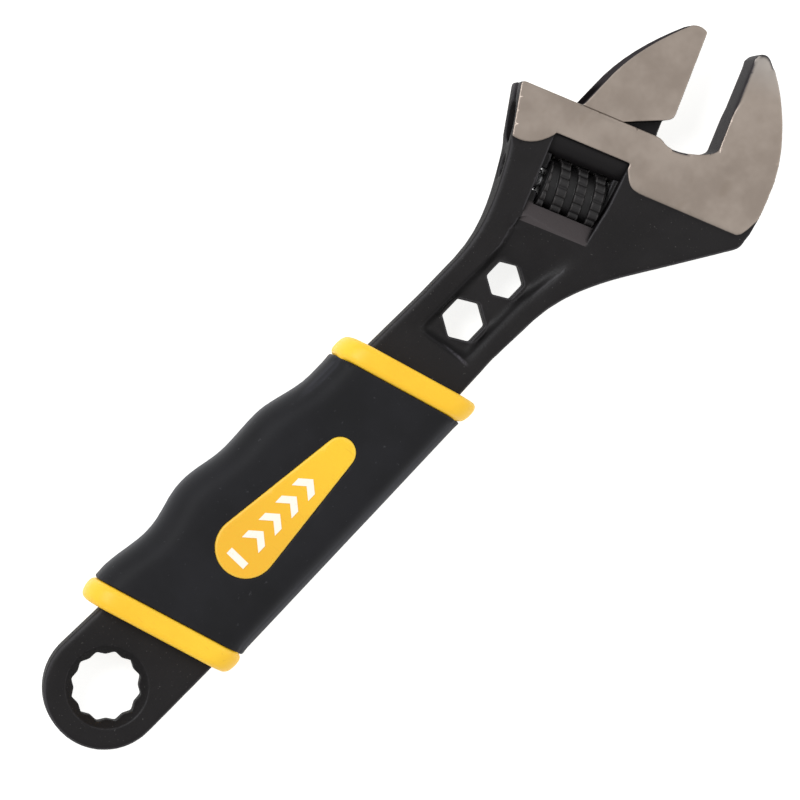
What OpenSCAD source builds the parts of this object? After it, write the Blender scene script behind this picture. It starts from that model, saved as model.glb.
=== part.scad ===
// Adjustable wrench of the 200 mm class, with a twelve-point ring at the handle end
// and a two-colour moulded grip. It lies flat: X runs from the ring to the jaws,
// Z is the thickness. The origin is below the middle of the whole object.
//
// Two working frames are used. The shank frame has its zero close to the ring's centre,
// half-way through the thickness. The head frame is turned by head_angle about the
// worm's centre: s runs across the head, from the movable jaw to the fixed jaw,
// and u runs from the worm out to the jaw tips.

/* [Overall] */
// Length from the ring's end to the tip of the fixed jaw
overall_length = 205.96; // [204:0.02:207]
// Thickness of the ring and shank
shank_thick = 7; // [6:0.5:7.5]

/* [Ring end] */
// Radius of the ring's outside
ring_r = 12.9; // [12.6:0.1:13.2]
// Width across flats of the twelve-point socket
ring_flats = 13.1; // [11:1:14]
// How far the outside circle is set behind the socket's centre
ring_offset = 0.5; // [0:0.1:1]
// Place of the socket's centre along and across the shank
ring_at = [-0.5, 0.5];
// Depth of the lead-in on each face of the socket
ring_lead_in = 2.2; // [1:0.1:2.6]

/* [Shank] */
// Half width of the shank at the ring
shank_half_rear = 12.6; // [12.3:0.05:12.8]
// Half width of the shank at its narrowest place
shank_half_front = 10.15; // [10:0.05:10.5]
// How far the shank's middle is set off towards the fixed jaw
shank_offset = 0.4; // [0:0.1:0.6]
// Where the narrow stretch of the shank starts
shank_neck_x = 105; // [103:1:108]
// Across-flats sizes of the two hexagon holes
hex_flats = [8.2, 7.1];
// Where the two hexagon holes are along the shank
hex_x = [106.9, 119.1];
// Half thickness of the web left in the recessed panel
panel_web_half = 1.9; // [1.5:0.1:2.4]

/* [Head] */
// Angle of the head to the shank
head_angle = 22; // [20:0.5:24]
// Place of the worm's centre along the shank
worm_x = 142.7; // [142:0.1:144]
// Place of the worm's centre across the shank
worm_y = 2.3; // [2:0.1:3]
// Thickness of the head over its ground faces
head_thick = 12; // [11.8:0.1:12.6]
// How far the ground faces stand above the black forging
ground_step = 0.35; // [0.2:0.05:0.5]
// Height of the head's top edge, on which the movable jaw slides
head_top_u = 16.9; // [16.6:0.1:17.2]
// Place of the fixed jaw's gripping face
fixed_face_s = 25.5; // [25:0.1:25.6]
// Thickness of the fixed jaw at its tip
fixed_tip_thick = 10.4; // [9.6:0.2:12]

/* [Movable jaw] */
// Opening between the jaws as drawn
opening = 11.4; // [11:0.1:12]
// Radius of the round rack on the movable jaw
rack_r = 4.5; // [4.3:0.1:4.6]
// Height of the rack's axis above the worm's
rack_u = 8.85; // [8.8:0.05:9]
// Length of the rack
rack_len = 28.6; // [26:0.2:29]
// Thickness of the web between rack and jaw
web_thick = 3.9; // [3.4:0.1:4.2]
// How far the web stays behind the jaw's face
web_back = 1.5; // [1.2:0.1:1.8]
// Thickness of the movable jaw at its tip
jaw_tip_thick = 9; // [8:0.2:11]
// Gap between the sliding jaw and the head
slide_gap = 0.06; // [0.04:0.02:0.2]

/* [Worm] */
// Outside radius of the knurled worm
worm_r = 6; // [5.8:0.05:6]
// Radius of the worm's core
worm_core_r = 5; // [4.8:0.05:5]
// Height of the worm's axis on the head's scale
worm_u = -0.75; // [-0.9:0.05:-0.7]
// Travel of the jaw for one turn of the worm
worm_pitch = 4; // [3.9:0.05:4.1]
// Ends of the worm along its axis
worm_ends = [-6.6, 6.95];
// Place of a ridge, measured on the side towards the rack
worm_phase = 0.5; // [0.3:0.1:0.7]
// Width of the ridge at its tip and at the core
ridge_w = [2.1, 2.7];
// Knurl grooves in one turn
knurls = 16; // [12:4:16]
// Depth of the knurl grooves
knurl_depth = 0.5; // [0.3:0.1:0.6]
// Radius of the worm's pin
pin_r = 1.5; // [1.3:0.1:1.6]

/* [Grip] */
// Half thickness of the yellow collars
collar_half = 8.5; // [8.3:0.1:8.8]
// Half thickness of the black cover
cover_half = 8; // [7.8:0.1:8.2]
// Half thickness of the yellow sleeve inside the cover
sleeve_half = 5.5; // [5:0.1:6]
// Width of each collar along the shank
collar_w = 5.3; // [4.8:0.1:5.6]
// Where the rear and front collars start on the centre line
collar_x = [14.2, 86.5];
// How much the collars lean, as run over rise
collar_lean = 0.28; // [0.24:0.01:0.3]
// How far the collars stand out sideways from the cover
collar_proud = 0.5; // [0.3:0.1:0.8]
// Radii of the teardrop badge's two ends
badge_r = [6.6, 3.4];
// Places of the badge's two ends along the shank
badge_x = [40.5, 68.3];
// Height of the badge above the cover
badge_proud = 0.15; // [0.1:0.05:0.3]

/* [Hidden] */
$fn = 64;
far = 60;
shank_half = shank_thick / 2;
head_half = head_thick / 2;
forging_half = head_half - ground_step;
fit_gap = 0.05;
rack_gap = 0.12;
jaw_face_s = fixed_face_s - opening;
jaw_shoulder_u = head_top_u + slide_gap;
tooth_gap = 0.15;
// How much deeper than the worm's ridge the rack's grooves are cut
groove_extra = 0.4; // [0.3:0.1:0.8]
centre_x = overall_length / 2 - ring_r - ring_offset + ring_at[0];
centre_y = -2.96;

hex_y = [-0.5, -1];

// ---- small helpers ----

function head(s, u) = [
    worm_x + s * sin(head_angle) + u * cos(head_angle),
    worm_y - s * cos(head_angle) + u * sin(head_angle)];

// Points of a cubic curve from a to d, without a itself
function curve(a, b, c, d, n = 8) = [
    for (i = [1 : n])
        let (t = i / n, r = 1 - t)
        r * r * r * a + 3 * r * r * t * b + 3 * r * t * t * c + t * t * t * d];

function arc(c, r, from, to, n = 24) = [
    for (i = [0 : n])
        let (a = from + (to - from) * i / n)
        c + r * [cos(a), sin(a)]];

function mirrored(points) = [for (i = [len(points) - 1 : -1 : 0]) [points[i][0], -points[i][1]]];

// Section of a flat bar with round edges, half height h, from y0 to y1
function bar_section(y0, y1, h, r, n = 6) = concat(
    arc([y1 - r, h - r], r, 0, 90, n),
    arc([y0 + r, h - r], r, 90, 180, n),
    arc([y0 + r, r - h], r, 180, 270, n),
    arc([y1 - r, r - h], r, 270, 360, n));

module slab(points, half) {
    translate([0, 0, -half])
        linear_extrude(height = 2 * half)
            polygon(points);
}

// Local x is u, local y is the thickness, local z is s
module along_s() {
    translate([worm_x, worm_y, 0])
        rotate([0, 0, head_angle])
            rotate([90, 0, 0])
                children();
}

// The same, about the worm's axis
module along_worm() {
    along_s()
        translate([worm_u, 0, 0])
            children();
}

// Extrudes a side view, drawn with X to the right and Z up, across the width
module side_view(points) {
    translate([0, far, 0])
        rotate([90, 0, 0])
            linear_extrude(height = 2 * far)
                polygon(points);
}

module to_base() {
    translate([-centre_x, -centre_y, collar_half])
        children();
}

// ---- forged body ----

function body_outline() = concat(
    arc(ring_at - [ring_offset, 0], ring_r, 90, 270),
    [[18, -shank_half_rear - 0.1], [shank_neck_x, -shank_half_front - shank_offset],
     [117.2, -11.2]],
    curve([117.2, -11.2], [127.2, -11.8], [135.7, -17.6], [143.2, -22.4]),
    [[157.3, -31.3]],
    curve([157.3, -31.3], [158.3, -31.9], [158.9, -32.1], [160, -31.8], 4),
    curve([160, -31.8], [164, -31.2], [168.1, -29.9], [172, -28.2], 5),
    curve([172, -28.2], [180.4, -25], [188.8, -16], [191.9, -8.9], 10),
    curve([191.9, -8.9], [192.4, -7.5], [191.8, -6.3], head(fixed_face_s, 40.1), 5),
    [head(fixed_face_s, 19.4)],
    curve(head(fixed_face_s, 19.4), head(fixed_face_s, 18.2), head(21.5, 15.7), head(16, 15.7)),
    curve(head(16, 15.7), head(14.2, 15.7), head(13.6, head_top_u), head(12, head_top_u), 5),
    [head(-18.1, head_top_u)],
    curve(head(-18.1, head_top_u), head(-18.8, head_top_u), head(-19.1, 16.5), head(-18.95, 15.8), 3),
    [[138.8, 17.95]],
    curve([138.8, 17.95], [132, 14.1], [124.8, 9.9], [115.5, 9.75]),
    [[shank_neck_x, shank_half_front - shank_offset], [18, shank_half_rear - 0.1]]);

// Side view of the black forging: thin shank, thicker head
function forging_profile() = let (top = concat(
        [[-far, shank_half], [116, shank_half]],
        curve([116, shank_half], [126, shank_half], [134, forging_half], [144, forging_half]),
        [[200, forging_half]]))
    concat(top, mirrored(top));

// Plan of the ground faces, which runs out past the forging's edge
function ground_zone() = concat(
    [head(-26, far), head(-26, 5.4), head(-17, 5.4)],
    curve(head(-17, 5.4), head(-14, 4.6), head(-11, 5.6), head(-8.3, 9)),
    [head(8.7, 8.5)],
    curve(head(8.7, 8.5), head(10, 6), head(10.5, 4.4), head(13, 4.3), 5),
    [head(35.8, 4.1)],
    curve(head(35.8, 4.1), head(37.2, 4.4), head(38.6, 8.5), head(40.5, 12), 5),
    [head(44, far)]);

// The head and jaws thin down towards the tips; drawn in u and thickness
function tip_taper(tip_half) = [
    [-200, head_half], [20, head_half], [41, tip_half], [41 + far, tip_half],
    [41 + far, -tip_half], [41, -tip_half], [20, -head_half], [-200, -head_half]];

module forging() {
    intersection() {
        slab(body_outline(), head_half);
        union() {
            side_view(forging_profile());
            slab(ground_zone(), head_half);
        }
        along_s()
            translate([0, 0, -2 * far])
                linear_extrude(height = 4 * far)
                    polygon(tip_taper(fixed_tip_thick / 2));
    }
}

module ring_socket() {
    corner_r = ring_flats / 2 / cos(30);
    translate(ring_at) {
        for (turn = [0, 30])
            rotate([0, 0, turn])
                translate([0, 0, -far / 2])
                    cylinder(r = corner_r, h = far, $fn = 6);
        for (side = [0, 1])
            mirror([0, 0, side])
                translate([0, 0, shank_half - ring_lead_in])
                    cylinder(r1 = ring_flats / 2, r2 = ring_flats / 2 + ring_lead_in + 1,
                             h = ring_lead_in + 1);
    }
}

module hex_holes() {
    for (i = [0, 1])
        translate([hex_x[i], hex_y[i], -far / 2])
            cylinder(r = hex_flats[i] / 2 / cos(30), h = far, $fn = 6);
}

// Recessed panel on one face; its floor rises towards the window
module panel_recess() {
    floor_line = concat(
        [[90, panel_web_half], [120, panel_web_half]],
        curve([120, panel_web_half], [126, panel_web_half], [130, 4.4], [136.5, 5.8]),
        [[150, 5.8], [150, 20], [90, 20]]);
    intersection() {
        slab([[99.3, 4.9], [101, -6.1], [117.6, -6.2], [127.4, -7.6], [136.4, -8.8],
              [140, 0], [130.3, 6.5], [123.5, 4.7], [117.6, 4.5]], 20);
        side_view(floor_line);
    }
}

// Window for the worm: open through the head around the worm, wider and shallow past its
// ends, and sloped down to the worm as a thumb ledge on each face
module worm_window() {
    wall = worm_ends[0] - 0.15;
    front = worm_ends[1] + 0.15;
    mouth = [head(-8.25, 9.4), head(8.9, 9.4), head(8.1, worm_u), head(7.1, -7),
             head(6.6, -10.45), head(-8.3, -10.45)];
    slab([head(wall, 9.2), head(front + 0.2, 9.2), head(front + 0.2, worm_u), head(wall, worm_u)],
         far);
    for (side = [0, 1])
        mirror([0, 0, side])
            intersection() {
                slab(mouth, 20);
                along_s()
                    translate([0, 0, -20])
                        linear_extrude(height = 40)
                            polygon([[-12, 5.3], [-10.35, 5.3], [-5.5, 3.1], [12, 3.1],
                                     [12, 7], [-12, 7]]);
            }
    along_worm() {
        translate([0, 0, wall])
            cylinder(r = worm_r + 0.15, h = front - wall);
        translate([-2.6, -3.4, -8.1])
            cube([5.2, 6.8, 2]);
    }
}

// Round way for the rack, open at the head's shoulder, with the slot for the web
module rack_way() {
    along_s() {
        translate([rack_u, 0, -40])
            cylinder(r = rack_r + rack_gap, h = 40 + fixed_face_s + 1.7);
        translate([rack_u, -web_thick / 2 - rack_gap, -40])
            cube([20, web_thick + 2 * rack_gap, 40 + fixed_face_s - web_back + 0.3]);
    }
}

module pin_hole() {
    along_worm() {
        translate([0, 0, -40])
            cylinder(r = pin_r + fit_gap, h = 52.2);
        translate([0, 0, -40])
            cylinder(r = 2.4, h = 40 - 12.6);
    }
}

module forged_body() {
    color([0.13, 0.13, 0.14])
        to_base()
            difference() {
                forging();
                ring_socket();
                hex_holes();
                for (side = [0, 1])
                    mirror([0, 0, side])
                        panel_recess();
                worm_window();
                rack_way();
                pin_hole();
            }
}

// ---- movable jaw ----

function jaw_outline() = concat(
    [head(-5, jaw_shoulder_u), head(4.2, jaw_shoulder_u), head(11.8, 20.4)],
    curve(head(11.8, 20.4), head(13.2, 21), head(jaw_face_s, 21.4), head(jaw_face_s, 22.8), 4),
    [head(jaw_face_s, 41.4)],
    curve(head(jaw_face_s, 41.4), head(13.7, 42), head(11.8, 42.4), head(10.6, 41.7), 4),
    curve(head(10.6, 41.7), head(4.8, 36.2), head(-0.1, 30), head(-2.6, 23)));

// Stretch of helical ridge about the s axis. Angles start at u and turn towards Z.
// r_tip is the height at each step; w holds the ridge's width at its tip and foot.
function ridge_points(from, to, step, foot_r, w, tips) = [
    for (i = [0 : round((to - from) / step)])
        let (a = from + i * step, s = worm_phase + worm_pitch * a / 360)
        each [[foot_r * cos(a), foot_r * sin(a), s - w[1] / 2],
              [tips[i] * cos(a), tips[i] * sin(a), s - w[0] / 2],
              [tips[i] * cos(a), tips[i] * sin(a), s + w[0] / 2],
              [foot_r * cos(a), foot_r * sin(a), s + w[1] / 2]]];

module ridge(from, to, step, foot_r, w, tips) {
    rings = round((to - from) / step) + 1;
    last = 4 * (rings - 1);
    sides = [for (i = [0 : rings - 2], k = [0 : 3])
        let (a = 4 * i + k, b = 4 * i + (k + 1) % 4)
        each [[a, b, a + 4], [b, b + 4, a + 4]]];
    polyhedron(
        points = ridge_points(from, to, step, foot_r, w, tips),
        faces = concat([[3, 2, 1, 0]], sides, [[last, last + 1, last + 2, last + 3]]));
}

// Grooves that the worm's ridge runs in, cut across the rack's lower side
module rack_grooves() {
    reach = 54;
    step = 9;
    foot_r = worm_core_r - 0.5;
    tip = worm_r + groove_extra;
    taper = (ridge_w[1] - ridge_w[0]) * groove_extra / (worm_r - foot_r);
    widths = [ridge_w[0] - taper + 2 * tooth_gap, ridge_w[1] + 2 * tooth_gap];
    tips = [for (i = [0 : 2 * reach / step]) tip];
    for (turn = [-5 : 4])
        translate([0, 0, worm_pitch * turn])
            ridge(-reach, reach, step, foot_r, widths, tips);
}

module movable_jaw() {
    color([0.62, 0.58, 0.54])
        to_base() {
            difference() {
                union() {
                    intersection() {
                        slab(jaw_outline(), head_half);
                        along_s()
                            translate([0, 0, -far])
                                linear_extrude(height = 2 * far)
                                    polygon(tip_taper(jaw_tip_thick / 2));
                    }
                    along_s() {
                        translate([rack_u, -web_thick / 2, -3])
                            cube([jaw_shoulder_u - rack_u + 4.2, web_thick, 3 + jaw_face_s - web_back]);
                        translate([rack_u, 0, jaw_face_s - rack_len])
                            cylinder(r = rack_r, h = rack_len);
                    }
                }
                along_worm()
                    rack_grooves();
            }
        }
}

// ---- worm, its pin and its spring ----

function knurl(a) = let (part = 360 / knurls, off = abs((a + 3600) % part - part / 2))
    worm_r - knurl_depth * max(0, off - part / 2 + 6) / 6;

module adjusting_worm() {
    start = -810;
    end = 780;
    step = 4.5;
    chamfer = 0.5;
    tips = [for (i = [0 : (end - start) / step]) knurl(start + i * step)];
    color([0.16, 0.16, 0.17])
        to_base()
            along_worm()
                difference() {
                    union() {
                        translate([0, 0, worm_ends[0]])
                            cylinder(r1 = worm_core_r - chamfer, r2 = worm_core_r, h = chamfer);
                        translate([0, 0, worm_ends[0] + chamfer])
                            cylinder(r = worm_core_r, h = worm_ends[1] - worm_ends[0] - chamfer);
                        intersection() {
                            ridge(start, end, step, worm_core_r - 0.5, ridge_w, tips);
                            translate([0, 0, worm_ends[0] + chamfer])
                                cylinder(r = worm_r + 1, h = worm_ends[1] - worm_ends[0] - chamfer);
                        }
                    }
                    translate([0, 0, -20])
                        cylinder(r = pin_r + fit_gap, h = 40);
                }
}

module worm_pin() {
    head_floor = -12.6;
    color([0.45, 0.45, 0.47])
        to_base()
            along_worm()
                difference() {
                    union() {
                        translate([0, 0, head_floor - 1.8])
                            cylinder(r = 2.3, h = 1.8);
                        translate([0, 0, head_floor])
                            cylinder(r = pin_r, h = 24.4);
                    }
                    translate([-4, -0.4, head_floor - 3])
                        cube([8, 0.8, 2]);
                }
}

// Light compression spring that takes up the worm's end play
module worm_spring() {
    wire_r = 0.22;
    coil_r = 2.1;
    from = -8.1 + wire_r;
    to = worm_ends[0] - fit_gap - wire_r;
    turns = 2;
    steps = 36;
    sides = 8;
    points = [for (i = [0 : steps], k = [0 : sides - 1])
        let (a = 360 * turns * i / steps, b = 360 * k / sides, r = coil_r + wire_r * cos(b))
        [r * cos(a), r * sin(a), from + (to - from) * i / steps + wire_r * sin(b)]];
    walls = [for (i = [0 : steps - 1], k = [0 : sides - 1])
        let (a = sides * i + k, b = sides * i + (k + 1) % sides)
        each [[a, a + sides, b], [b, a + sides, b + sides]]];
    color([0.7, 0.7, 0.72])
        to_base()
            along_worm()
                polyhedron(points = points, faces = concat(
                    [[for (k = [0 : sides - 1]) k]], walls,
                    [[for (k = [sides - 1 : -1 : 0]) sides * steps + k]]));
}

// ---- grip ----

// Crests and hollows of the finger side, as [x, y], joined by smooth waves
finger_points = [[0, 15.4], [17, 18.2], [28.5, 16.7], [41.5, 18.8], [53, 17.1],
                 [61.5, 17.4], [75, 14.8], [110, 14.5]];
palm_line = [[0, -15.7], [110, -14.75]];

function wave(points, x, i = 0) =
    x > points[i + 1][0] ? wave(points, x, i + 1) :
    let (t = (x - points[i][0]) / (points[i + 1][0] - points[i][0]))
    points[i][1] + (points[i + 1][1] - points[i][1]) * (1 - cos(180 * t)) / 2;

function palm(x) = palm_line[0][1] + (palm_line[1][1] - palm_line[0][1]) * x / 110;

// Stretch of the grip between two leaning lines that cross the centre line at c0 and c1.
// Each ring lies in a leaning plane; swell(t) widens the ring at t from 0 to 1.
module grip_loft(c0, c1, half, rings, swell) {
    edge = 6.2;
    per_ring = 4 * 7;
    points = [for (i = [0 : rings])
        let (t = i / rings,
             c = c0 + (c1 - c0) * t,
             extra = swell(t),
             section = bar_section(palm(c + collar_lean * 16) - extra,
                                   wave(finger_points, c - collar_lean * 18) + extra,
                                   half + min(0, extra), edge))
        each [for (q = section) [c - collar_lean * q[0], q[0], q[1]]]];
    walls = [for (i = [0 : rings - 1], k = [0 : per_ring - 1])
        let (a = per_ring * i + k, b = per_ring * i + (k + 1) % per_ring)
        each [[a, a + per_ring, b], [b, a + per_ring, b + per_ring]]];
    polyhedron(points = points, faces = concat(
        [[for (k = [0 : per_ring - 1]) k]], walls,
        [[for (k = [per_ring - 1 : -1 : 0]) per_ring * rings + k]]));
}

// Outline of the badge: two round ends and their common tangents
function badge_outline() = let (
        tilt = acos((badge_r[0] - badge_r[1]) / (badge_x[1] - badge_x[0])))
    concat(
        arc([badge_x[0], 0.3], badge_r[0], tilt, 360 - tilt, 20),
        arc([badge_x[1], -0.2], badge_r[1], -tilt, tilt, 10));

module sleeve_block() {
    slab([[collar_x[0] + 1 - collar_lean * 14, 14], [collar_x[1] + 3 - collar_lean * 14, 13.2],
          [collar_x[1] + 3 + collar_lean * 13, -13.2], [collar_x[0] + 1 + collar_lean * 14, -14]],
         sleeve_half);
}

module core_solid() {
    for (x = collar_x)
        grip_loft(x, x + collar_w, collar_half, 8,
                  function (t) collar_proud - 0.9 * pow(abs(2 * t - 1), 4));
    sleeve_block();
    slab(badge_outline(), cover_half + badge_proud);
}

module grip_core() {
    color([1, 0.8, 0.2])
        to_base()
            difference() {
                core_solid();
                slab(body_outline(), shank_half);
            }
}

module grip_cover() {
    color([0.12, 0.12, 0.13])
        to_base()
            difference() {
                grip_loft(collar_x[0] + collar_w, collar_x[1], cover_half, 40, function (t) 0);
                sleeve_block();
                slab(badge_outline(), far);
            }
}

// Plain decoration on the badge's front: chevrons and a line
module badge_mark() {
    mark_thick = 0.15;
    color([1, 0.95, 0.9])
        to_base()
            translate([-1.6, 0.1, cover_half + badge_proud])
                linear_extrude(height = mark_thick) {
                    for (x = [43 : 5 : 58])
                        polygon([[x, 2.4], [x + 2, 2.4], [x + 4, 0], [x + 2, -2.4],
                                 [x, -2.4], [x + 2, 0]]);
                    translate([38.4, -2.4])
                        square([1.6, 4.8]);
                }
}

forged_body();
movable_jaw();
adjusting_worm();
worm_pin();
worm_spring();
grip_core();
grip_cover();
badge_mark();
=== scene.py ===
"""Looks of the adjustable wrench.

Soft-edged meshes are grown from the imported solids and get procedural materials.
Lengths are in mm until a mesh or a socket is filled.
"""

import math

import bpy
import numpy as np
import openvdb as vdb
from mathutils import Matrix, Vector

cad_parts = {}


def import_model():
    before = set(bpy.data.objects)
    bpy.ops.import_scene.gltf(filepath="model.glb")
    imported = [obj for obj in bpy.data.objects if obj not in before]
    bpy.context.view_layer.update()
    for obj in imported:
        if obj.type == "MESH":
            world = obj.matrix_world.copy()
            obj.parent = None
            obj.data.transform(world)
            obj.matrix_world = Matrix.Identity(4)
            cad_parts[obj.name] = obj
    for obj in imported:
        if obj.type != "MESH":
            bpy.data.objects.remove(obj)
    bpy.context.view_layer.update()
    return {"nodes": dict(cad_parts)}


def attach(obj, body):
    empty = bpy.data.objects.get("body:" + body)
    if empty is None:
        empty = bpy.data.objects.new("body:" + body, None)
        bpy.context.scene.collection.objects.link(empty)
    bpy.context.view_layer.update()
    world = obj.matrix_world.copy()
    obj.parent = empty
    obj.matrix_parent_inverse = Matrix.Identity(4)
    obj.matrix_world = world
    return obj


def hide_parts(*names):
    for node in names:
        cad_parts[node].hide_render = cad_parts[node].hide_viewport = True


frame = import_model()

MM = 0.001
MID = 8.5                               # mid-plane of the thickness
ORIGIN = np.array([89.08, -2.96])       # box centre seen from the ring
LEAN = math.radians(22)                 # turn of the head against the shank
WORM = np.array([142.7, 2.3]) - ORIGIN  # zero point of the head
S = np.array([math.sin(LEAN), -math.cos(LEAN)])  # across the head, towards the fixed jaw
U = np.array([math.cos(LEAN), math.sin(LEAN)])   # along the head, towards the tips
WORM_LOW = 0.75                         # the worm's axis is this far below the zero point
SEAM = 16.93                            # along the head, where the sliding jaw rests on it
HEAD_HALF = 6                           # half the head's thickness
TAPER = (20, 21)                        # where the jaws start to taper, and over what length
HOLES = ((-89.58, 3.46, 9.2),           # centre and reach of the ring hole
         (17.82, 2.46, 4.6),            # the larger hexagon hole
         (30.02, 1.96, 4.1))            # the smaller one


# ---------------------------------------------------------------- meshes from the solids

def solid(node):
    """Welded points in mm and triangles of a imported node."""
    data = frame["nodes"][node].data
    data.calc_loop_triangles()
    tri = np.empty(len(data.loop_triangles) * 3, np.int32)
    data.loop_triangles.foreach_get("vertices", tri)
    co = np.empty(len(data.vertices) * 3)
    data.vertices.foreach_get("co", co)
    co, back = np.unique((co.reshape(-1, 3) / MM).round(4), axis=0, return_inverse=True)
    return co, unfolded(back.reshape(-1)[tri].reshape(-1, 3))


def unfolded(tris):
    """The triangles that have three different corners."""
    a, b, c = tris.T
    return tris[(a != b) & (b != c) & (a != c)]


def box_blur(a, reach, passes):
    """Repeated box blur of a 3-D array along each axis."""
    width = 2 * reach + 1
    for _ in range(passes):
        for axis in range(3):
            pad = [(0, 0)] * 3
            pad[axis] = (reach + 1, reach)
            total = np.cumsum(np.pad(a, pad, mode="edge"), axis=axis, dtype=np.float64)
            hi = [slice(None)] * 3
            lo = [slice(None)] * 3
            hi[axis] = slice(width, None)
            lo[axis] = slice(0, -width)
            a = ((total[tuple(hi)] - total[tuple(lo)]) / width).astype(np.float32)
    return a


def sample(a, at):
    """Trilinear values of the array at index points."""
    at = np.clip(at, 0, np.array(a.shape) - 1.001)
    low = np.floor(at).astype(int)
    part = at - low
    out = np.zeros(len(at))
    for dx in (0, 1):
        for dy in (0, 1):
            for dz in (0, 1):
                weight = (np.where(dx, part[:, 0], 1 - part[:, 0])
                          * np.where(dy, part[:, 1], 1 - part[:, 1])
                          * np.where(dz, part[:, 2], 1 - part[:, 2]))
                out += weight * a[low[:, 0] + dx, low[:, 1] + dy, low[:, 2] + dz]
    return out


def closed_skin(points, tris, quads):
    """Points and triangles of the outermost shell, without the mesher's doubled faces."""
    a, b, c, d = (points[quads[:, i]] for i in range(4))
    short = np.linalg.norm(a - c, axis=1) <= np.linalg.norm(b - d, axis=1)
    one = np.where(short[:, None], quads[:, [0, 1, 2]], quads[:, [0, 1, 3]])
    two = np.where(short[:, None], quads[:, [0, 2, 3]], quads[:, [1, 2, 3]])
    tris = np.concatenate([tris.reshape(-1, 3), one, two]).astype(np.int64)
    _, first, back = np.unique(points.round(4), axis=0, return_index=True, return_inverse=True)
    points, tris = points[first], unfolded(back.reshape(-1)[tris])
    _, kind, times = np.unique(np.sort(tris, axis=1), axis=0, return_inverse=True,
                               return_counts=True)
    tris = tris[times[kind.reshape(-1)] == 1]
    shell = np.arange(len(points))
    while True:
        lowest = shell[tris].min(axis=1)
        joined = shell.copy()
        for corner in range(3):
            np.minimum.at(joined, tris[:, corner], lowest)
        joined = joined[joined]
        if (joined == shell).all():
            break
        shell = joined
    outermost = shell[tris[points[tris[:, 0], 0].argmin(), 0]]
    tris = tris[shell[tris[:, 0]] == outermost]
    used, tris = np.unique(tris, return_inverse=True)
    return points[used], tris.reshape(-1, 3)


def grow(name, nodes, voxel, shape, adaptivity=0.02, band=6):
    """A soft-edged mesh of the first node. shape() turns the nodes' distance fields into one."""
    place = vdb.createLinearTransform(voxelSize=voxel)
    levels = []
    for node in nodes.split():
        co, tri = solid(node)
        levels.append(vdb.FloatGrid.createLevelSetFromPolygons(
            co.astype(np.float32), triangles=tri.astype(np.uint32), transform=place,
            halfWidth=band))
    corners = np.array([level.evalActiveVoxelBoundingBox() for level in levels])
    low, high = corners[:, 0].min(0), corners[:, 1].max(0)
    fields = []
    for level in levels:
        field = np.empty(high - low + 1, np.float32)
        level.copyToArray(field, ijk=tuple(int(c) for c in low))
        fields.append(field)
    raw = fields[0]
    axes = [(np.arange(n, dtype=np.float32) + low[i]) * voxel for i, n in enumerate(raw.shape)]
    field = shape(axes, *fields).astype(np.float32)
    grid = vdb.FloatGrid(float(band * voxel))
    grid.copyFromArray(field, ijk=tuple(int(c) for c in low))
    grid.transform = place
    points, tris = closed_skin(*grid.convertToPolygons(isovalue=0.0, adaptivity=adaptivity))
    at = points / voxel - low
    normal = np.stack([sample(field, at + step) - sample(field, at - step)
                       for step in 0.75 * np.eye(3)], 1)
    normal /= np.maximum(np.linalg.norm(normal, axis=1), 1e-9)[:, None]
    edge = sample(box_blur(raw, 2, 2) - raw, at) / voxel
    a, b, c = (points[tris[:, i]] for i in range(3))
    if (np.cross(b - a, c - a) * normal[tris[:, 0]]).sum() < 0:
        tris = tris[:, ::-1]
    mesh = bpy.data.meshes.new(name)
    mesh.from_pydata((points * MM).tolist(), [], tris.tolist())
    mesh.polygons.foreach_set("use_smooth", [True] * len(mesh.polygons))
    convexity = mesh.attributes.new("convexity", "FLOAT", "POINT")
    convexity.data.foreach_set("value", edge.astype(np.float32))
    mesh.update()
    mesh.normals_split_custom_set_from_vertices(normal.tolist())
    obj = bpy.data.objects.new(name, mesh)
    bpy.context.scene.collection.objects.link(obj)
    return obj


def ramp(x, a, b):
    """Smooth step from 0 at a to 1 at b."""
    t = np.clip((x - a) / (b - a), 0, 1)
    return t * t * (3 - 2 * t)


def head_frame(x, y):
    """Places across and along the head."""
    return [(x - WORM[0]) * way[0] + (y - WORM[1]) * way[1] for way in (S, U)]


def panel_walls(x, y):
    """1 near the walls of the shank's recessed panel."""
    long, wide = x + ORIGIN[0], y + ORIGIN[1]
    top = np.interp(long, [99, 117.6, 123.5, 130.3], [4.9, 4.5, 4.7, 6.5])
    foot = np.interp(long, [101, 117.6, 127.4, 136.4], [-6.1, -6.2, -7.6, -8.8])
    sides = np.minimum(np.abs(wide - top), np.abs(wide - foot))
    sides = (1 - ramp(sides, 1.6, 2.6)) * ramp(long, 97, 98.5)
    rear = (1 - ramp(np.abs(long - 100.2), 1.6, 2.6)) * ramp(wide, foot - 2, foot - 1)
    rear = rear * (1 - ramp(wide, top + 1, top + 2))
    return np.maximum(sides, rear)


def seam_share(u):
    """1 where the sliding jaw rests on the head."""
    return 1 - ramp(np.abs(u - SEAM), 0.6, 1.2)


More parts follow.
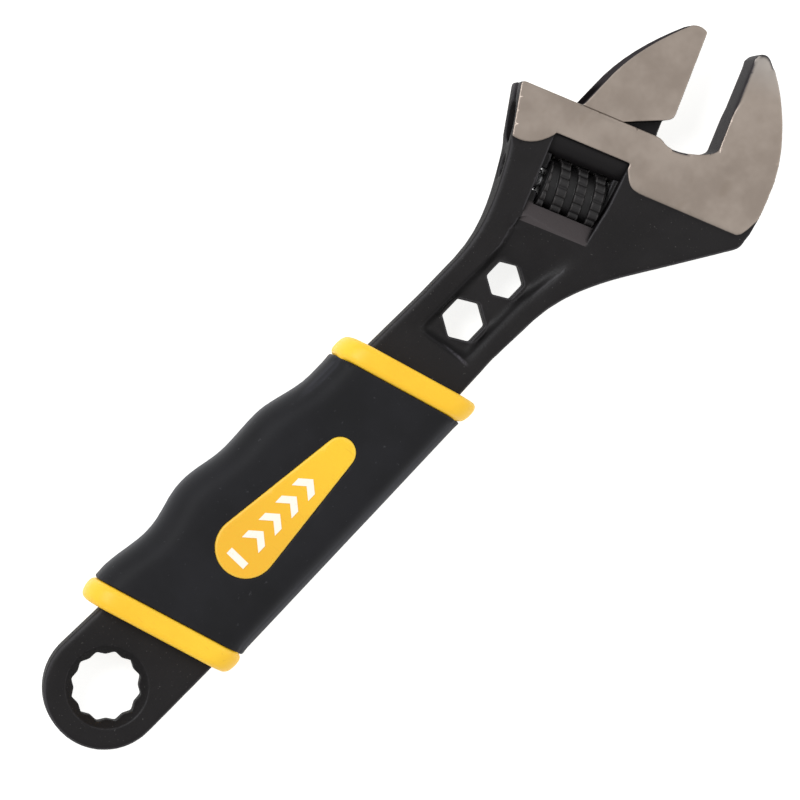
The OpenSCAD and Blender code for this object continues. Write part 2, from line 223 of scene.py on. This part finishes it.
def forged_shape(axes, raw):
    """Broad edges on the forging, crisp ones on ground faces, sockets and the window."""
    fine = box_blur(raw, 1, 1)
    middle = box_blur(fine, 1, 2)
    broad = box_blur(middle, 2, 2)
    x, y = axes[0][:, None], axes[1][None, :]
    s, u = head_frame(x, y)
    keep = np.zeros(s.shape, np.float32)
    for hole_x, hole_y, reach in HOLES:
        around = 1 - ramp(np.hypot(x - hole_x, y - hole_y), reach, reach + 0.9)
        keep = np.maximum(keep, around)
    window = (1 - ramp(np.abs(s), 9.0, 10.4)) * (1 - ramp(np.abs(u + 0.8), 10.6, 11.6))
    ground = ramp(u, 3.4, 5.4)
    crisp = np.maximum(window, ground)
    share = np.clip(1 - np.maximum(keep, crisp), 0, 1)[:, :, None]
    walls = (panel_walls(x, y) * (1 - keep) * (1 - window))[:, :, None]
    soft = fine + (middle - fine) * share
    soft = soft + (broad - soft) * share
    soft += (box_blur(broad, 4, 2) - soft) * walls
    soft += (raw - soft) * (0.6 * crisp[:, :, None])
    return soft + (raw - 0.03 - soft) * seam_share(u)[:, :, None]


def crisp_shape(axes, raw):
    """Hardly softened edges."""
    return raw + (box_blur(raw, 1, 1) - raw) * 0.4


def worm_shape(axes, raw):
    """Crisp, with a slightly fuller core that hides the light past the window."""
    core_r, core_mid, core_half = 5.15, 0.175, 6.5
    s, u = head_frame(axes[0][:, None], axes[1][None, :])
    off_mid = (axes[2] - MID)[None, None, :]
    radius = np.sqrt((u + WORM_LOW)[:, :, None] ** 2 + off_mid ** 2)
    core = np.maximum(radius - core_r, (np.abs(s - core_mid) - core_half)[:, :, None])
    return np.minimum(crisp_shape(axes, raw), core)


def jaw_shape(axes, raw):
    """Crisp, and snug against the head."""
    u = head_frame(axes[0][:, None], axes[1][None, :])[1]
    soft = crisp_shape(axes, raw)
    return soft + (raw - 0.04 - soft) * seam_share(u)[:, :, None]


def grip_places(axes):
    """Distance past the collars' inner faces, and 1 around the badge."""
    x, y = axes[0][:, None], axes[1][None, :]
    lean = x + 0.28 * y
    ends = 0.963 * np.maximum(-68.75 - lean, lean + 1.75)
    badge = 1 - ramp(np.maximum(np.abs(lean + 35.4) - 20, np.abs(y - 3) - 8), 0, 1)
    return ends[:, :, None], badge[:, :, None]


def core_shape(axes, core):
    """Round collars and a crisper badge."""
    badge = grip_places(axes)[1]
    fine = box_blur(core, 1, 1)
    broad = box_blur(fine, 2, 2)
    return broad + (fine - broad) * badge


def cover_shape(axes, cover, core):
    """The outside of cover and core between the collars, softened, with the core taken out."""
    ends, badge = grip_places(axes)
    whole = np.minimum(cover, np.maximum(core, ends))
    fine = box_blur(whole, 1, 1)
    broad = box_blur(fine, 2, 3)
    outer = fine + (broad - fine) * ramp(-ends, 0.3, 1.8)
    inner = box_blur(core, 1, 1) + 0.3 * (1 - badge)
    return np.maximum(np.maximum(outer, -inner), ends)


# ---------------------------------------------------------------- materials

def srgb(r, g, b):
    """Linear colour of 8-bit sRGB values."""
    def one(c):
        c /= 255
        return c / 12.92 if c <= 0.04045 else ((c + 0.055) / 1.055) ** 2.4
    return (one(r), one(g), one(b), 1.0)


class Paint:
    """A small helper for building a node material."""

    def __init__(self, name):
        self.material = bpy.data.materials.new(name)
        self.material.use_nodes = True
        self.tree = self.material.node_tree
        self.shader = self.tree.nodes["Principled BSDF"]
        self.place = self.add("ShaderNodeTexCoord").outputs["Object"]

    def add(self, kind, **values):
        node = self.tree.nodes.new(kind)
        for key, value in values.items():
            setattr(node, key, value)
        return node

    def put(self, socket, value):
        if isinstance(value, bpy.types.NodeSocket):
            self.tree.links.new(value, socket)
        else:
            socket.default_value = value

    def math(self, operation, a, b=0.0, c=0.0):
        node = self.add("ShaderNodeMath", operation=operation)
        for i, v in enumerate((a, b, c)):
            self.put(node.inputs[i], v)
        return node.outputs[0]

    def plus(self, a, b):
        return self.math("ADD", a, b)

    def times(self, first, *others):
        for other in others:
            first = self.math("MULTIPLY", first, other)
        return first

    def rest(self, share):
        """One less the share."""
        return self.math("SUBTRACT", 1.0, share)

    def off(self, place, centre):
        """Distance from a plane at the given mm."""
        return self.math("ABSOLUTE", self.math("SUBTRACT", place, centre * MM))

    def span(self, value, a, b, lo=0.0, hi=1.0):
        """Smooth step from lo at a to hi at b."""
        node = self.add("ShaderNodeMapRange", interpolation_type="SMOOTHSTEP")
        for i, v in enumerate((value, a, b, lo, hi)):
            self.put(node.inputs[i], v)
        return node.outputs[0]

    def fade(self, place, a, b):
        """Smooth step from 0 at a mm to 1 at b mm."""
        return self.span(place, a * MM, b * MM)

    def mix(self, share, a, b):
        node = self.add("ShaderNodeMix", data_type="RGBA")
        self.put(node.inputs[0], share)
        self.put(node.inputs[6], a)
        self.put(node.inputs[7], b)
        return node.outputs[2]

    def noise(self, size_mm, detail=2.0, rough=0.5, stretch=(1, 1, 1), turn=0.0):
        lay = self.add("ShaderNodeMapping")
        self.put(lay.inputs[0], self.place)
        lay.inputs[2].default_value = (0, 0, turn)
        lay.inputs[3].default_value = [1000.0 / size_mm * k for k in stretch]
        node = self.add("ShaderNodeTexNoise")
        self.put(node.inputs["Vector"], lay.outputs[0])
        node.inputs["Scale"].default_value = 1.0
        node.inputs["Detail"].default_value = detail
        node.inputs["Roughness"].default_value = rough
        return node.outputs[0]

    def cloud(self, size_mm, rough, dark, light):
        """A slow noise, and the colour that it mixes from a dark and a light one."""
        noise = self.noise(size_mm, 3, rough)
        return noise, self.mix(self.span(noise, 0.3, 0.7), dark, light)

    def convexity(self):
        """The mesh's own measure: above 0 on outer edges, below 0 in inner ones."""
        return self.add("ShaderNodeAttribute", attribute_name="convexity").outputs["Fac"]

    def outer_edges(self, size_mm, uneven, a, b):
        """1 on outer edges, with an uneven border."""
        return self.span(self.plus(self.convexity(), self.times(self.noise(size_mm, 3, 0.7), uneven)),
                         a, b)

    def axes(self, vector=None):
        """The x, y and z of a vector, or of the place."""
        parts = self.add("ShaderNodeSeparateXYZ")
        self.put(parts.inputs[0], self.place if vector is None else vector)
        return parts.outputs

    def facing_up(self):
        """1 on faces that look up or down, 0 on upright ones."""
        normal = self.add("ShaderNodeTexCoord").outputs["Normal"]
        return self.span(self.math("ABSOLUTE", self.axes(normal)[2]), 0.2, 0.8)

    def bump(self, height, depth_mm, strength=1.0, normal=None):
        node = self.add("ShaderNodeBump")
        node.inputs["Strength"].default_value = strength
        node.inputs["Distance"].default_value = depth_mm * MM
        self.put(node.inputs["Height"], height)
        if normal is not None:
            self.put(node.inputs["Normal"], normal)
        return node.outputs[0]

    def set(self, **values):
        for key, value in values.items():
            self.put(self.shader.inputs[key.replace("_", " ")], value)
        return self.material


def head_places(p, tip_half):
    """Height off the mid-plane as on an even head, and the places across and along the head."""
    x, y, z = p.axes()
    across, along = (p.math("SUBTRACT", p.plus(p.times(x, way[0]), p.times(y, way[1])),
                            float(WORM @ way) * MM) for way in (S, U))
    past = p.math("MAXIMUM", p.math("SUBTRACT", along, TAPER[0] * MM), 0.0)
    drop = p.times(past, (HEAD_HALF - tip_half) / TAPER[1])
    return p.plus(p.off(z, MID), drop), across, along


def ground_share(p, height, along):
    """1 on the ground side faces, and down in the seam between head and sliding jaw."""
    face = p.fade(height, 5.82, 5.93)
    seam = p.times(p.fade(p.off(along, SEAM), 0.34, 0.24), p.fade(height, 5.0, 5.4))
    return p.math("MAXIMUM", face, seam)


def steel_look(p):
    """Colour, roughness and grinding lines of the bright faces."""
    cloud, base = p.cloud(9, 0.6, srgb(154, 142, 132), srgb(170, 158, 148))
    smudge = p.span(p.noise(5.5, 2, 0.5), 0.62, 0.8)
    base = p.mix(p.times(smudge, 0.3), base, srgb(134, 120, 105))
    lines = p.noise(0.16, 2, 0.6, (1, 0.03, 1), LEAN)
    rough = p.plus(p.plus(0.36, p.times(cloud, 0.1)), p.times(lines, 0.06))
    return base, rough, lines


def oxide_look(p):
    """Colour, roughness and height of the black forging."""
    base = p.cloud(14, 0.6, srgb(19, 17, 18), srgb(26, 24, 25))[1]
    grain = p.noise(0.55, 3, 0.65)
    pits = p.span(p.noise(1.3, 2, 0.5), 0.6, 0.75)
    speck = p.span(p.noise(0.42, 1, 0.5), 0.73, 0.8)
    base = p.mix(p.times(speck, 0.4), base, srgb(104, 102, 100))
    rough = p.plus(0.36, p.times(grain, 0.22))
    return base, rough, p.math("SUBTRACT", grain, p.times(pits, 0.5))


def panel_wall(p, height):
    """1 on the walls of the recessed panel, where shade is painted."""
    x, y, _ = p.axes()
    inside = p.times(p.fade(p.off(y, 1.9), 8.6, 8.2), p.fade(x, 8, 8.4), p.fade(x, 38, 32))
    return p.times(inside, p.fade(height, 3.42, 3.2), p.fade(height, 1.95, 2.15))


def panel_rim_highlight(p, height):
    """1 on a patchy painted highlight along the rim at the panel's end nearest the grip."""
    x, y, _ = p.axes()
    rim = p.times(p.fade(p.off(x, 11.35), 0.55, 0.1), p.fade(p.off(y, -0.9), 4.2, 2.2))
    patches = p.span(p.noise(1.1, 3, 0.7), 0.35, 0.6, 0.3, 1.0)
    return p.times(rim, patches, p.fade(height, 2.5, 3))


def thumb_ledge(p, height, across, along):
    """1 on the sloping ledge below the worm."""
    return p.times(p.fade(along, -10.36, -10.3), p.fade(along, -5.5, -6.2),
                   p.fade(across, 7.2, 6.4), p.fade(across, -8.3, -8.15),
                   p.fade(height, 5.32, 5.24))


def forged_material():
    """Black oxide, bright ground side faces on the head, a paler thumb ledge and painted light.
    """
    p = Paint("black_oxide")
    height, across, along = head_places(p, 5.2)
    bright = p.times(ground_share(p, height, along), p.fade(along, 2.2, 2.8))
    s_base, s_rough, lines = steel_look(p)
    # Painted highlight: the ground faces grow lighter towards the fixed jaw's tip.
    s_base = p.mix(p.times(p.fade(along, 32, 42), 0.6), s_base, srgb(188, 184, 180))
    o_base, o_rough, o_height = oxide_look(p)
    # Worn outer edges, tinted as a painted bluish glint.
    o_base = p.mix(p.times(p.outer_edges(1.4, 0.5, 0.55, 1.0), 0.22), o_base, srgb(96, 94, 99))
    # Painted light: the head's side walls near the jaws are lighter, most on the fixed jaw's
    # outer side.
    flank = p.times(p.fade(along, 13, 18), p.fade(height, 5.9, 5.8))
    o_base = p.mix(flank, o_base, srgb(70, 66, 69))
    o_base = p.mix(p.times(flank, p.fade(across, 29, 27.5)), o_base, srgb(51, 48, 50))
    ledge = thumb_ledge(p, height, across, along)
    o_base = p.mix(p.times(ledge, 0.62), o_base, srgb(80, 74, 75))
    # Painted shade in inner corners and creases.
    o_base = p.mix(p.span(p.convexity(), -0.15, -0.7, 0.0, 0.6), o_base, srgb(9, 8, 9))
    # Painted shade on the walls of the recessed panel.
    o_base = p.mix(p.times(panel_wall(p, height), 0.75), o_base, srgb(8, 7, 8))
    # Painted highlight on the panel's rim nearest the grip.
    o_base = p.mix(p.times(panel_rim_highlight(p, height), 0.4), o_base, srgb(104, 101, 108))
    normal = p.bump(p.times(o_height, p.rest(bright)), 0.05, 0.7)
    return p.set(Base_Color=p.mix(bright, o_base, s_base),
                 Roughness=p.plus(p.times(s_rough, bright), p.times(o_rough, p.rest(bright))),
                 Metallic=p.times(bright, 0.95),
                 Normal=p.bump(p.times(lines, bright), 0.008, 0.6, normal),
                 Specular_IOR_Level=p.plus(0.02, p.times(p.facing_up(), 0.2)))


def jaw_material():
    """Bright side faces, darker ground edges, oxide on the rack and painted shade on the web."""
    p = Paint("bright_steel")
    height, _, along = head_places(p, 4.5)
    bright = ground_share(p, height, along)
    s_base, s_rough, lines = steel_look(p)
    side = p.cloud(6, 0.6, srgb(47, 44, 46), srgb(59, 56, 58))[1]
    side = p.mix(p.fade(along, 13.5, 15.5), srgb(22, 20, 21), side)
    # Painted shade on the web below the jaw's faces, near the head.
    web = p.times(p.fade(along, 24, 21), p.fade(height, 4.4, 4.2))
    side = p.mix(web, side, srgb(20, 18, 19))
    side = p.mix(p.times(p.outer_edges(1.2, 0.4, 0.6, 1.0), 0.3), side, srgb(140, 136, 132))
    return p.set(Base_Color=p.mix(bright, side, s_base),
                 Roughness=p.plus(p.times(s_rough, bright), p.times(0.42, p.rest(bright))),
                 Metallic=p.times(bright, 0.95),
                 Normal=p.bump(lines, 0.008, 0.6),
                 Specular_IOR_Level=p.times(p.facing_up(), 0.2))


def worm_material():
    """Black oxide, with painted shade down between the ridges."""
    p = Paint("black_oxide_worm")
    base, rough, relief = oxide_look(p)
    base = p.mix(p.times(p.outer_edges(0.8, 0.4, 0.5, 1.0), 0.18), base, srgb(104, 100, 100))
    height, _, along = head_places(p, HEAD_HALF)
    radius = p.math("SQRT", p.plus(p.math("POWER", height, 2.0),
                                   p.math("POWER", p.plus(along, WORM_LOW * MM), 2.0)))
    # Painted shade down between the ridges.
    deep = p.span(radius, 5.7 * MM, 5.25 * MM, 0.0, 0.75)
    return p.set(Base_Color=p.mix(deep, base, srgb(7, 6, 7)), Roughness=rough,
                 Normal=p.bump(relief, 0.03, 0.6), Specular_IOR_Level=0.4)


def plain_steel():
    """Drawn bright steel of the pin and the spring."""
    p = Paint("pin_steel")
    base = p.mix(p.noise(2, 3, 0.6), srgb(188, 188, 190), srgb(216, 216, 217))
    lines = p.noise(0.1, 2, 0.6, (1, 0.1, 1), LEAN)
    return p.set(Base_Color=base, Roughness=p.plus(0.3, p.times(lines, 0.15)), Metallic=0.95,
                 Normal=p.bump(lines, 0.004, 0.5))


def yellow_plastic():
    """Yellow moulding, a little deeper on the badge, with faint scuffs and painted light."""
    p = Paint("yellow_plastic")
    base = p.cloud(12, 0.55, srgb(251, 195, 37), srgb(253, 203, 44))[1]
    x, y, _ = p.axes()
    badge = p.times(p.fade(p.off(x, -35.4), 25, 23), p.fade(p.off(y, 0), 13, 12))
    # Painted light: the badge grows lighter towards the head end.
    tone = p.mix(p.fade(x, -48, -18), srgb(240, 183, 40), srgb(248, 200, 38))
    base = p.mix(badge, base, tone)
    # Painted highlight on the outer edges.
    base = p.mix(p.times(p.outer_edges(1.6, 0.3, 0.5, 1.1), 0.32), base, srgb(255, 222, 100))
    scuff = p.span(p.noise(0.5, 2, 0.5, (1, 0.12, 1), 0.6), 0.66, 0.74)
    base = p.mix(p.times(scuff, 0.22), base, srgb(205, 150, 40))
    grain = p.noise(0.22, 2, 0.5)
    return p.set(Base_Color=base, Roughness=p.plus(0.4, p.times(grain, 0.16)),
                 Normal=p.bump(grain, 0.012, 0.6), Specular_IOR_Level=0.45,
                 Subsurface_Weight=0.08, Subsurface_Radius=(0.0015, 0.0008, 0.0003))


def black_rubber():
    """Black soft moulding with a fine grain, a slow wave, some dust and a painted edge sheen."""
    p = Paint("black_rubber")
    cloud, base = p.cloud(16, 0.6, srgb(24, 24, 26), srgb(30, 30, 33))
    # Painted bluish sheen on the outer edges.
    base = p.mix(p.times(p.span(p.convexity(), 0.5, 1.4), 0.25), base, srgb(66, 66, 76))
    dust = p.span(p.noise(0.9, 2, 0.6), 0.68, 0.78)
    base = p.mix(p.times(dust, 0.12), base, srgb(120, 120, 126))
    normal = p.bump(p.noise(0.3, 3, 0.6), 0.02, 0.75)
    normal = p.bump(p.noise(2.4, 2, 0.5), 0.03, 0.5, normal)
    return p.set(Base_Color=base, Roughness=p.plus(0.5, p.times(cloud, 0.14)), Normal=normal,
                 Specular_IOR_Level=0.16, Sheen_Weight=0.05, Sheen_Roughness=0.45,
                 Sheen_Tint=srgb(170, 180, 215))


def white_print():
    """White print with a few rubbed spots."""
    p = Paint("white_print")
    grain = p.noise(0.35, 3, 0.6)
    patches = p.span(p.noise(0.8, 3, 0.6), 0.58, 0.72)
    base = p.mix(p.times(patches, 0.35), srgb(255, 244, 230), srgb(255, 214, 130))
    return p.set(Base_Color=base, Roughness=p.plus(0.45, p.times(grain, 0.15)),
                 Normal=p.bump(grain, 0.008, 0.5))


# ---------------------------------------------------------------- pieces

def show(obj, material, body, node):
    obj.data.materials.clear()
    obj.data.materials.append(material)
    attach(obj, body)
    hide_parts(node)


show(grow("forging", "forged_body", 0.2, forged_shape), forged_material(),
     "frame", "forged_body")
show(grow("sliding_jaw", "movable_jaw", 0.16, jaw_shape), jaw_material(),
     "jaw", "movable_jaw")
show(grow("worm_screw", "adjusting_worm", 0.12, worm_shape, 0.01), worm_material(),
     "worm", "adjusting_worm")
show(grow("grip_yellow", "grip_core", 0.25, core_shape), yellow_plastic(),
     "frame", "grip_core")
show(grow("grip_black", "grip_cover grip_core", 0.25, cover_shape), black_rubber(),
     "frame", "grip_cover")
for node, material in (("worm_pin", plain_steel()), ("worm_spring", plain_steel()),
                       ("badge_mark", white_print())):
    mesh = frame["nodes"][node].data
    mesh.materials.clear()
    mesh.materials.append(material)


# ---------------------------------------------------------------- floor, light, camera

def floor():
    """A pale floor just under the wrench, lit a little by itself."""
    size = 1.6
    mesh = bpy.data.meshes.new("floor")
    mesh.from_pydata([(-size, -size, 0), (size, -size, 0), (size, size, 0), (-size, size, 0)],
                     [], [(0, 1, 2, 3)])
    obj = bpy.data.objects.new("floor", mesh)
    bpy.context.scene.collection.objects.link(obj)
    obj.location.z = -0.0002
    mesh.materials.append(Paint("pale_floor").set(
        Base_Color=srgb(200, 200, 198), Roughness=0.9, Specular_IOR_Level=0.1,
        Emission_Color=(1, 1, 0.99, 1), Emission_Strength=0.8))


def area(name, place, size, power, colour):
    """A round area light that looks at the origin."""
    light = bpy.data.lights.new(name, "AREA")
    light.shape = "DISK"
    light.size = size
    light.energy = power
    light.color = colour
    obj = bpy.data.objects.new(name, light)
    bpy.context.scene.collection.objects.link(obj)
    obj.location = place
    obj.rotation_euler = (-Vector(place)).to_track_quat("-Z", "Y").to_euler()


def camera():
    """The photo's camera, fitted in mm from the ring. Returns its right, up and look ways."""
    eye = np.array([15.91, 123.777, 937.2])
    aim = np.array([85.535, -2.655, 0.0])
    roll = math.radians(46.116)
    focal_px, photo_px, sensor_mm = 4499.93, 800, 36
    shift = np.array([-ORIGIN[0], -ORIGIN[1], MID])
    look = (aim - eye) / np.linalg.norm(aim - eye)
    right = np.array([math.cos(roll), -math.sin(roll), 0.0])
    right -= look * (right @ look)
    right /= np.linalg.norm(right)
    up = np.cross(right, look)
    data = bpy.data.cameras.new("camera")
    data.sensor_width = sensor_mm
    data.lens = sensor_mm * focal_px / photo_px
    data.clip_end = 20
    obj = bpy.data.objects.new("camera", data)
    bpy.context.scene.collection.objects.link(obj)
    turn = Matrix([[right[i], up[i], -look[i]] for i in range(3)]).to_4x4()
    obj.matrix_world = Matrix.Translation([float(c) for c in (eye + shift) * MM]) @ turn
    bpy.context.scene.camera = obj
    return right, up, look


def world(strength, colour):
    w = bpy.data.worlds.new("studio")
    w.use_nodes = True
    back = w.node_tree.nodes["Background"]
    back.inputs[0].default_value = (*colour, 1)
    back.inputs[1].default_value = strength
    bpy.context.scene.world = w


floor()
right, up, look = camera()
world(0.64, (1.0, 1.0, 1.0))
view = bpy.context.scene.view_settings
view.view_transform = "Standard"
view.look = "None"
left_top = -0.36 * right + 0.32 * up - 0.88 * look
area("key", tuple(float(c) for c in left_top * 0.9), 0.4, 3.8, (0.97, 0.98, 1.0))
area("fill", (0.5, -0.5, 0.7), 0.8, 1.6, (1.0, 0.98, 0.95))
